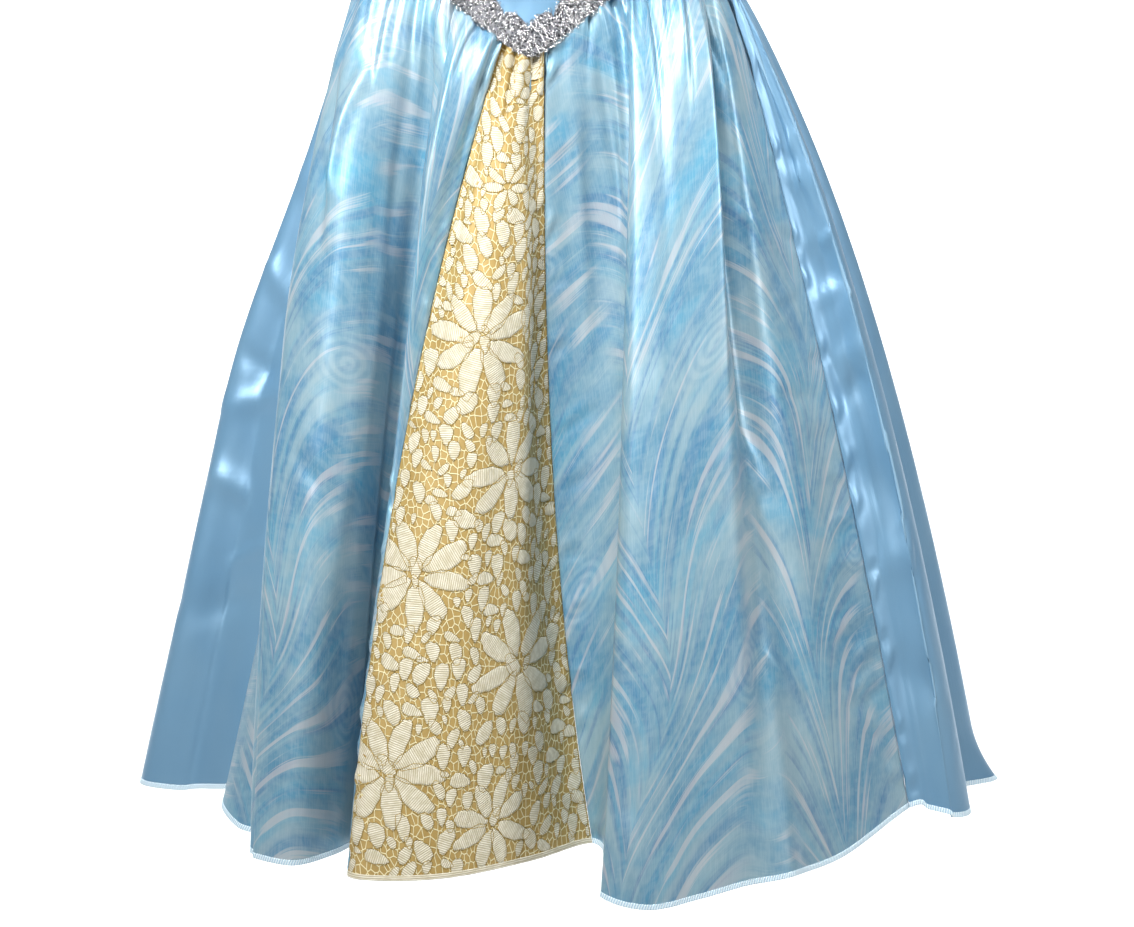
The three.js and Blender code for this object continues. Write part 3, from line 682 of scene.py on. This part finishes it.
grids, onSheet = {}, {}
for name, panel in skirtPanels.items():
    start, end = seams[panel["start"]], seams[panel["end"]]
    count = (end - start) * panel["columns"]
    u = np.linspace(start, end, count + 1)
    fall = np.linspace(0, 1, panel["rows"] + 1)
    points = skirtPoint(u[:, None] + 0 * fall, fall + 0 * u[:, None])
    lengths = flatLengths(points)
    across, down = lengths
    lift = creaseLift(u, fall, lengths, panelCreases(name, panel))
    fromEdge = np.minimum(across - across[:1], across[-1:] - across)
    lift -= seamGroove["depth"] * np.exp(-((fromEdge / seamGroove["width"]) ** 2))
    lift *= np.minimum(1, down / waistHold["reach"] + waistHold["share"])
    points = points + gridNormals(points) * lift[..., None]
    normals = gridNormals(points)
    piece = sheetObject(name + "_cloth", points, lengths, [slotMaterials[panel["slot"]], satinReverse])
    grids[name] = dict(points=points, normals=normals, across=across, down=down)

    # The overlocked edge along the hem
    rows = np.linspace(0, 1, hemBand["rows"])
    at = down[:, -1:] + hemBand["overhang"] - hemBand["height"] * (1 - rows)
    bandPoints = np.empty((count + 1, len(rows), 3))
    for i in range(count + 1):
        lifted = points[i] + normals[i] * hemBand["lift"]
        for axis in range(3):
            bandPoints[i, :, axis] = np.interp(at[i], down[i], lifted[:, axis])
    edgeThread = ivoryThread if name == "lace_panel" else hemThread
    band = sheetObject(name + "_hem", bandPoints, flatLengths(bandPoints), [edgeThread], hemBand["thickness"])
    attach(piece, "root")
    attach(band, "root")
    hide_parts(name)
    onSheet[name] = [piece, band]
print("skirt made")


# Places on a panel's outer surface, from flat lengths across and down in mm, lifted off it
def onPanel(name, flatPlaces, lift):
    grid = grids[name]
    points, normals, across, down = grid["points"], grid["normals"], grid["across"], grid["down"]
    middle = points.shape[0] // 2
    found = []
    for s, t in flatPlaces:
        row = float(np.interp(t, down[middle], np.arange(down.shape[1])))
        j = min(int(row), down.shape[1] - 2)
        f = row - j
        line = across[:, j] * (1 - f) + across[:, j + 1] * f
        column = float(np.interp(s, line, np.arange(len(line))))
        i = min(int(column), points.shape[0] - 2)
        g = column - i
        corners = [(i, j, (1 - g) * (1 - f)), (i + 1, j, g * (1 - f)),
                   (i, j + 1, (1 - g) * f), (i + 1, j + 1, g * f)]
        place = sum(points[a, b] * share for a, b, share in corners)
        normal = sum(normals[a, b] * share for a, b, share in corners)
        found.append(place + normal * lift)
    return found


# The lace's motifs: a low ribbed dome with a cord round it for each petal and leaf
lace = {
    "domeRings": [(1, -0.3), (0.98, 0.14), (0.78, 0.22), (0.4, 0.26)], "tipLift": 0.28, "cordRadius": 0.27,
    "cordLift": 0.18, "corners": 20, "ragged": 0.08, "petalLength": 33, "petalWidth": 14, "edgeGap": 0.8,
}
# Across, down, size and turn of each flower, and how many petals it has
flowers = [(2, 96, 0.5, 10, 7), (-6, 205, 1.05, 25, 9), (30, 300, 1.0, 0, 8), (-38, 372, 1.1, 12, 9),
           (48, 440, 1.1, 30, 8), (-50, 508, 1.05, 5, 9), (30, 548, 0.9, 20, 8)]
# Tries, shortest, longest and clearance of the loose leaves: big ones first, then small ones in the gaps left
leafPasses = ((2600, 10, 21, 0.4), (1000, 7, 12, 0.4))


def leafOutline(centre, length, width, turn, point=0.25):
    outline = []
    for k in range(lace["corners"]):
        angle = 2 * math.pi * k / lace["corners"]
        along = math.cos(angle) * length / 2
        side = math.sin(angle) * width / 2 * (1 - point * math.cos(angle))
        waver = math.sin(3 * angle + 5 * turn) + 0.7 * math.sin(8 * angle + 9 * turn + length)
        uneven = 1 + lace["ragged"] * waver
        along, side = along * uneven, side * uneven
        outline.append((centre[0] + along * math.cos(turn) - side * math.sin(turn),
                        centre[1] + along * math.sin(turn) + side * math.cos(turn)))
    return outline


def addDome(bm, layer, centre, outline, turn):
    rings = []
    middleS, middleT = centre
    for scale, lift in lace["domeRings"]:
        flat = [(middleS + (s - middleS) * scale, middleT + (t - middleT) * scale) for s, t in outline]
        rings.append(([bm.verts.new(Vector(q) * mm) for q in onPanel("lace_panel", flat, lift)], flat))
    tip = bm.verts.new(Vector(onPanel("lace_panel", [centre], lace["tipLift"])[0]) * mm)
    flatOf = {vert: flat for verts, flats in rings for vert, flat in zip(verts, flats)}
    flatOf[tip] = centre
    count = len(outline)
    faces = []
    for (outer, _), (inner, _) in zip(rings, rings[1:]):
        for k in range(count):
            faces.append(bm.faces.new((outer[k], inner[k], inner[(k + 1) % count], outer[(k + 1) % count])))
    last = rings[-1][0]
    for k in range(count):
        faces.append(bm.faces.new((last[k], tip, last[(k + 1) % count])))
    for face in faces:
        face.smooth = True
        for loop in face.loops:
            s, t = flatOf[loop.vert]
            along = (s * math.cos(turn) + t * math.sin(turn)) * mm
            side = (t * math.cos(turn) - s * math.sin(turn)) * mm
            loop[layer].uv = (side, along)


# A thin closed cord along a ring of points in mm
def addCord(bm, ring, outwards, radius):
    count = len(ring)
    sections = []
    for k in range(count):
        ahead = Vector(ring[(k + 1) % count]) - Vector(ring[k - 1])
        up = Vector(outwards[k])
        side = ahead.cross(up).normalized()
        section = [bm.verts.new((Vector(ring[k]) + (side * math.cos(a) + up * math.sin(a)) * radius) * mm)
                   for a in (math.pi / 6, 5 * math.pi / 6, 1.5 * math.pi)]
        sections.append(section)
    for k in range(count):
        here, there = sections[k], sections[(k + 1) % count]
        for c in range(3):
            bm.faces.new((here[c], there[c], there[(c + 1) % 3], here[(c + 1) % 3])).smooth = True


chance = random.Random(12)
leaves = []
for across, down, size, turnDegrees, count in flowers:
    for k in range(count):
        turn = math.radians(turnDegrees + 360 * k / count + chance.uniform(-6, 6))
        length = lace["petalLength"] * size * chance.uniform(0.85, 1.1)
        width = min(lace["petalWidth"] * size, 2 * math.pi * length * 0.62 / count)
        width *= chance.uniform(0.92, 1.06)
        reach = length / 2 + 5 * size
        centre = (across + reach * math.cos(turn), down + reach * math.sin(turn))
        leaves.append((centre, length, width, turn, -0.12))
panelGrid = grids["lace_panel"]
middleColumn = panelGrid["points"].shape[0] // 2


def lacePanelEdges(t):
    row = int(np.argmin(np.abs(panelGrid["down"][middleColumn] - t)))
    return panelGrid["across"][0, row], panelGrid["across"][-1, row]


laceLength = float(panelGrid["down"][middleColumn, -1])
for tries, shortest, longest, clearance in leafPasses:
    for _ in range(tries):
        t = chance.uniform(6, laceLength - 5)
        left, right = lacePanelEdges(t)
        s = chance.uniform(left + 1, right - 1)
        length = chance.uniform(shortest, longest)
        width = length * chance.uniform(0.48, 0.68)
        turn = math.radians(chance.choice([60, 90, 120, 75, 100, 20]) + chance.uniform(-15, 15))
        clear = all(
            math.hypot(s - centre[0], t - centre[1]) > 0.5 * (length * 0.7 + other * 0.58) + clearance
            for centre, other, *_ in leaves)
        if clear:
            leaves.append(((s, t), length, width, turn, chance.uniform(0, 0.3)))

domes, cords = bmesh.new(), bmesh.new()
domeLayer = domes.loops.layers.uv.new("flat")
for centre, length, width, turn, point in leaves:
    left, right = lacePanelEdges(centre[1])
    if not left < centre[0] < right or centre[1] > laceLength - 2:
        continue
    outline = []
    for s, t in leafOutline(centre, length, width, turn, point):
        edgeLeft, edgeRight = lacePanelEdges(t)
        inside = min(edgeRight - lace["edgeGap"], max(edgeLeft + lace["edgeGap"], s))
        outline.append((inside, min(t, laceLength - lace["edgeGap"])))
    addDome(domes, domeLayer, centre, outline, turn)
    ring = onPanel("lace_panel", outline, lace["cordLift"])
    outer = onPanel("lace_panel", outline, lace["cordLift"] + 1)
    addCord(cords, ring, [b - a for a, b in zip(ring, outer)], lace["cordRadius"])
for bm, name, material in ((domes, "lace_motifs", ivoryThread), (cords, "lace_cords", goldCord)):
    bmesh.ops.recalc_face_normals(bm, faces=bm.faces)
    piece = meshObject(name, bm, [material])
    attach(piece, "root")
    onSheet["lace_panel"].append(piece)
print("lace made,", len(leaves), "motifs")

# Bodice: a wall round the front and two round the back, with the neck and the armholes cut from them. Each has
# the angles of its edges, its neck's depth and the stretch from front to back that the neck is cut through.
bodiceParts = {
    "bodice_front": dict(low=-90, high=90, columns=100, neck=shoulder["frontDepth"], reach=(-200, 2),
                         flat=(0.35, 0.35), area=0.085),
    "bodice_back_right": dict(low=90, high=180, columns=50, neck=shoulder["backDepth"], reach=(-2, 200),
                              flat=(0.18, 0.28), area=0.04),
    "bodice_back_left": dict(low=180, high=270, columns=50, neck=shoulder["backDepth"], reach=(-2, 200),
                             flat=(0.18, 0.28), area=0.04),
}
bodiceMesh = {"rows": 91, "crowding": 1.25, "seamDegrees": 0.08, "neckSteps": 49, "aboveNeck": 60}
softCreases = {"height": 0.7, "aboveWaist": 45, "reach": 34, "edge": 12}


# Soft cross creases above the waist, none at the edges of a piece
def bodiceCreases(across, down, phase):
    low = np.exp(-(((down - down[:, -1:] + softCreases["aboveWaist"]) / softCreases["reach"]) ** 2))
    waves = np.sin(down / 7 + 1.5 * np.sin(across / 21 + phase) + phase) * np.sin(across / 33 + phase)
    fromEdge = np.minimum(across - across[:1], across[-1:] - across)
    return softCreases["height"] * waves * low * np.minimum(1, fromEdge / softCreases["edge"])


def armholeCutter(sign):
    bm = bmesh.new()
    bmesh.ops.create_uvsphere(bm, u_segments=64, v_segments=48, radius=1)
    for vert in bm.verts:
        vert.co = Vector((
            sign * armhole["centreX"] + armhole["radiusX"] * vert.co.x, armhole["radiusY"] * vert.co.y,
            armhole["centreZ"] + armhole["radiusZ"] * vert.co.z)) * mm
    return bm


def neckCutter(depth, nearY, farY):
    half, above = shoulder["neckHalfWidth"], bodiceMesh["aboveNeck"]
    angles = np.linspace(-math.pi, 0, bodiceMesh["neckSteps"])
    outline = [(half * math.cos(a), depth * math.sin(a)) for a in angles] + [(half, above), (-half, above)]
    bm = bmesh.new()
    near, far = [[bm.verts.new(Vector((x, y, z)) * mm) for x, z in outline] for y in (nearY, farY)]
    bm.faces.new(near)
    bm.faces.new(far[::-1])
    for k in range(len(outline)):
        n = (k + 1) % len(outline)
        bm.faces.new((near[n], near[k], far[k], far[n]))
    bmesh.ops.recalc_face_normals(bm, faces=bm.faces)
    return bm


# Applies the piece's modifiers and takes the cutters away from it
def cutAway(piece, cutters):
    helpers = [meshObject("cutter", bm, []) for bm in cutters]
    for helper in helpers:
        cut = piece.modifiers.new("cut", "BOOLEAN")
        cut.operation = "DIFFERENCE"
        cut.object = helper
        cut.solver = "EXACT"
    dressed = piece.evaluated_get(bpy.context.evaluated_depsgraph_get())
    cutMesh = bpy.data.meshes.new_from_object(dressed)
    piece.modifiers.clear()
    piece.data = cutMesh
    for helper in helpers:
        bpy.data.objects.remove(helper)


for name, part in bodiceParts.items():
    low, high = part["low"] + bodiceMesh["seamDegrees"], part["high"] - bodiceMesh["seamDegrees"]
    angle = np.radians(np.linspace(low, high, part["columns"] + 1))[:, None]
    share = np.linspace(0, 1, bodiceMesh["rows"])[None, :] ** bodiceMesh["crowding"]
    points = bodicePoint(angle, share * seamLevel(angle))
    lengths = flatLengths(points)
    lift = bodiceCreases(*lengths, len(name))
    points = points + gridNormals(points) * lift[..., None]
    piece = sheetObject(name + "_cloth", points, lengths, [plainSatin, satinReverse])
    cutAway(piece, [armholeCutter(-1), armholeCutter(1), neckCutter(part["neck"], *part["reach"])])
    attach(piece, "root")
    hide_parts(name)
for name, (piece, *others) in onSheet.items():
    panel = skirtPanels[name]
print("bodice made")

# Silver trim along the pointed waist: a scalloped band covered with loops of tinsel cord
trim = {
    "endAngle": 88, "scallops": 20, "bandHeight": 15, "scallopHeight": 9, "belowSeam": 2.5, "offBodice": 0.6,
    "thickness": 2, "columns": 561, "rows": 15, "loops": 2300, "loopRadius": 1.6, "loopSteps": 8,
    "cordRadius": 0.26,
}


def trimPoint(angle, share, lift):
    lobe = np.abs(np.sin(math.pi * trim["scallops"] * angle / math.radians(trim["endAngle"]) / 2))
    height = trim["bandHeight"] + trim["belowSeam"] + trim["scallopHeight"] * np.sqrt(lobe)
    level = seamLevel(angle) - trim["belowSeam"] + height * (1 - share)
    tiny = 1e-3
    across = bodicePoint(angle + tiny, level) - bodicePoint(angle - tiny, level)
    down = bodicePoint(angle, level - 0.1) - bodicePoint(angle, level + 0.1)
    normal = np.cross(down, across)
    normal /= np.linalg.norm(normal, axis=-1, keepdims=True)
    return bodicePoint(angle, level) + normal * lift, normal


trimAngle = np.radians(np.linspace(-trim["endAngle"], trim["endAngle"], trim["columns"]))[:, None]
trimShare = np.linspace(0, 1, trim["rows"])[None, :]
trimPoints, _ = trimPoint(trimAngle, trimShare, trim["offBodice"] + trim["thickness"])
band = sheetObject("silver_trim_band", trimPoints, flatLengths(trimPoints), [braidGround], trim["thickness"])
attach(band, "root")
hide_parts("silver_trim")
chance = random.Random(5)
bm = bmesh.new()
for _ in range(trim["loops"]):
    angle = math.radians(chance.uniform(-trim["endAngle"], trim["endAngle"]))
    share = chance.uniform(-0.05, 1.04)
    lift = trim["offBodice"] + trim["thickness"] + chance.uniform(0.1, 1.1)
    centre, normal = [Vector(found) for found in trimPoint(angle, share, lift)]
    side = normal.orthogonal().normalized()
    other = normal.cross(side)
    radius = trim["loopRadius"] * chance.uniform(0.6, 1.1)
    phase = chance.uniform(0, 6.28)
    ring, outwards = [], []
    for k in range(trim["loopSteps"]):
        a = 2 * math.pi * k / trim["loopSteps"]
        wobble = radius * (1 + 0.35 * math.sin(2 * a + phase))
        ring.append(centre + side * wobble * math.cos(a) + other * wobble * math.sin(a)
                    + normal * 0.5 * math.sin(3 * a + phase))
        outwards.append(normal)
    addCord(bm, ring, outwards, trim["cordRadius"])
bmesh.ops.recalc_face_normals(bm, faces=bm.faces)
loops = meshObject("silver_loops", bm, [silverBraid])
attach(loops, "root")
print("trim made")

# Focal length and picture width in pixels, and how far the camera looks down
view = {"sensor": 36, "focal": 4416, "width": 1134, "place": (0.027, -3.2, -0.012), "lookDown": 11.69}
camera = bpy.data.objects.new("camera", bpy.data.cameras.new("camera"))
camera.data.lens = view["sensor"] * view["focal"] / view["width"]
camera.data.clip_end = 60
camera.location = view["place"]
camera.rotation_euler = (math.radians(90 - view["lookDown"]), 0, 0)
bpy.context.scene.collection.objects.link(camera)
bpy.context.scene.camera = camera

stageFloor = {"radius": 25, "level": -1.5}
floorMaterial, _ = newMaterial("matte floor", Base_Color=(0.9, 0.9, 0.9, 1), Roughness=0.9)
bm = bmesh.new()
bmesh.ops.create_circle(bm, cap_ends=True, segments=64, radius=stageFloor["radius"])
for vert in bm.verts:
    vert.co.z = stageFloor["level"]
meshObject("floor", bm, [floorMaterial])

world = bpy.data.worlds.new("studio")
bpy.context.scene.world = world
world.use_nodes = True
sky = world.node_tree.nodes["Background"].inputs
sky["Color"].default_value = (1, 1, 1, 1)
sky["Strength"].default_value = 0.12


def areaLight(name, place, target, size, power, spread=180):
    light = bpy.data.objects.new(name, bpy.data.lights.new(name, "AREA"))
    light.data.shape = "RECTANGLE"
    light.data.size, light.data.size_y = size
    light.data.energy = power
    light.data.spread = math.radians(spread)
    light.location = place
    light.rotation_euler = (Vector(target) - Vector(place)).to_track_quat("-Z", "Y").to_euler()
    bpy.context.scene.collection.objects.link(light)


areaLight("front left", (-1.45, -2.15, 1.4), (-0.1, 0, -0.05), (0.7, 0.7), 13, 52)
areaLight("front right", (2.5, -1.1, 0.9), (0.15, 0, -0.4), (0.6, 0.9), 8.2, 70)
areaLight("waist", (-0.2, -1.6, 1.2), (-0.02, -0.1, -0.26), (0.5, 0.4), 2.8, 44)
areaLight("back", (0.5, 3.0, 1.8), (0, 0, -0.8), (2, 1.2), 60)
areaLight("background", (0, 9.0, 2.5), (0, 9.0, -1.5), (12, 11), 1500)
sun = bpy.data.objects.new("overhead", bpy.data.lights.new("overhead", "SUN"))
sun.data.energy = 0.6
sun.data.angle = math.radians(70)
sun.rotation_euler = (math.radians(12), 0, 0)
bpy.context.scene.collection.objects.link(sun)
bpy.context.scene.view_settings.view_transform = "Standard"
